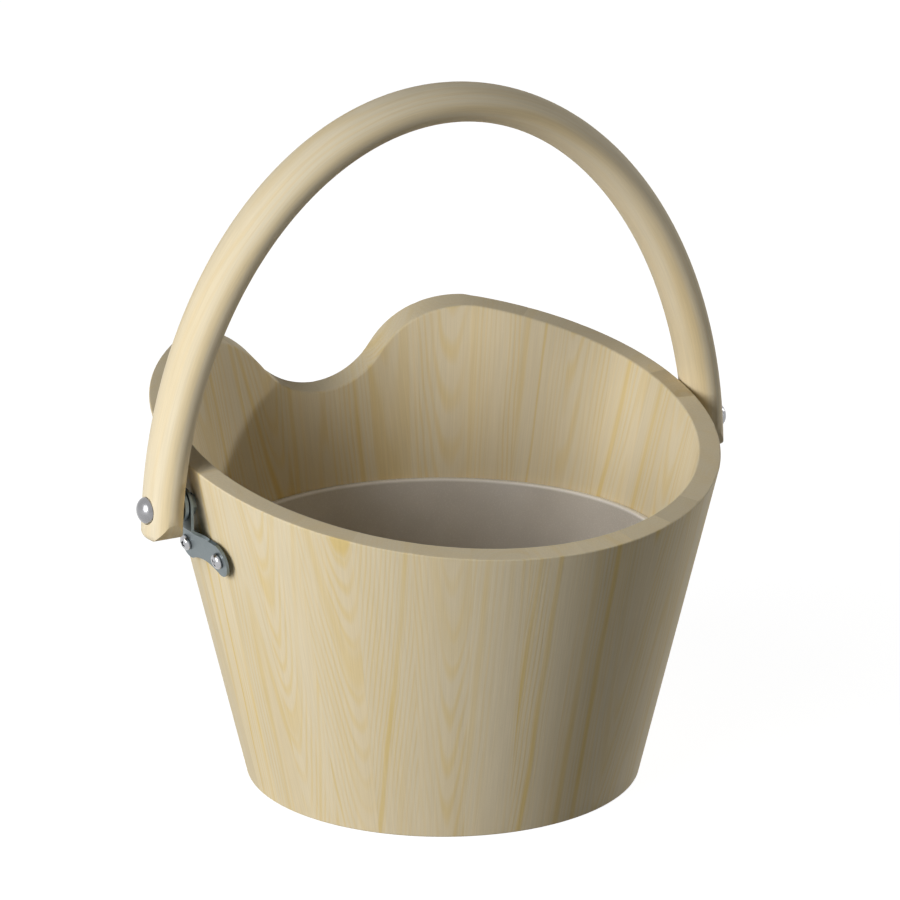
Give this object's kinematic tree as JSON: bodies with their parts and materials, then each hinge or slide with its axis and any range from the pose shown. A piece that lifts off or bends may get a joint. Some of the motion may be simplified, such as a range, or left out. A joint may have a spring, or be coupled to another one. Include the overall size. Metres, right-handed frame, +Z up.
{
  "type": "sauna bucket",
  "caption": "Coopered pine sauna bucket with a slanted rim, a notch between raised back shoulders, a lift-out plastic liner and a bent wooden bow handle that swings on bolted brackets.",
  "frame": {"origin": "centre of the base circle, on the floor", "axes": "+X along the handle's pivot axis to the right, +Y to the notch at the back, -Y to the low side of the rim, +Z up"},
  "size_m": [0.336, 0.2738, 0.3518],
  "materials": {
    "pine_wall": "pale pine, sanded and clear-oiled, satin, grain upright",
    "pine_board": "pale pine, planed",
    "pine_bow": "pale bent pine, sanded, satin, grain along the bow",
    "taupe_plastic": "semi-gloss moulded",
    "zinc_sheet": "zinc-plated sheet, satin",
    "chrome_screw": "bright plated",
    "bolt_steel": "plated, satin"
  },
  "bodies": {
    "bucket": {"stave_01": "pine_wall", "stave_02": "pine_wall", "stave_03": "pine_wall", "stave_04": "pine_wall", "stave_05": "pine_wall", "stave_06": "pine_wall", "stave_07": "pine_wall", "stave_08": "pine_wall", "stave_09": "pine_wall", "stave_10": "pine_wall", "stave_11": "pine_wall", "stave_12": "pine_wall", "stave_13": "pine_wall", "stave_14": "pine_wall", "stave_15": "pine_wall", "stave_16": "pine_wall", "stave_17": "pine_wall", "stave_18": "pine_wall", "stave_19": "pine_wall", "stave_20": "pine_wall", "stave_21": "pine_wall", "stave_22": "pine_wall", "stave_23": "pine_wall", "stave_24": "pine_wall", "stave_25": "pine_wall", "stave_26": "pine_wall", "stave_27": "pine_wall", "stave_28": "pine_wall", "stave_29": "pine_wall", "stave_30": "pine_wall", "bottom_board": "pine_board", "bracket_left": "zinc_sheet", "bracket_right": "zinc_sheet", "screw_left_front": "chrome_screw", "screw_left_back": "chrome_screw", "screw_right_front": "chrome_screw", "screw_right_back": "chrome_screw"},
    "handle": {"handle_bow": "pine_bow", "bolt_left": "bolt_steel", "bolt_right": "bolt_steel", "washer_left": "zinc_sheet", "washer_right": "zinc_sheet", "nut_left": "zinc_sheet", "nut_right": "zinc_sheet"},
    "liner": {"liner": "taupe_plastic"}
  },
  "joints": [
    {"name": "handle_swing", "type": "hinge", "parent": "bucket", "child": "handle", "pos_m": [0, 0, 0.1608], "axis": [1, 0, 0], "range_deg": [-27, 136]},
    {"name": "liner_lift", "type": "slide", "parent": "bucket", "child": "liner", "axis": [0, 0, 1], "range_m": [0, 0.13]}
  ]
}
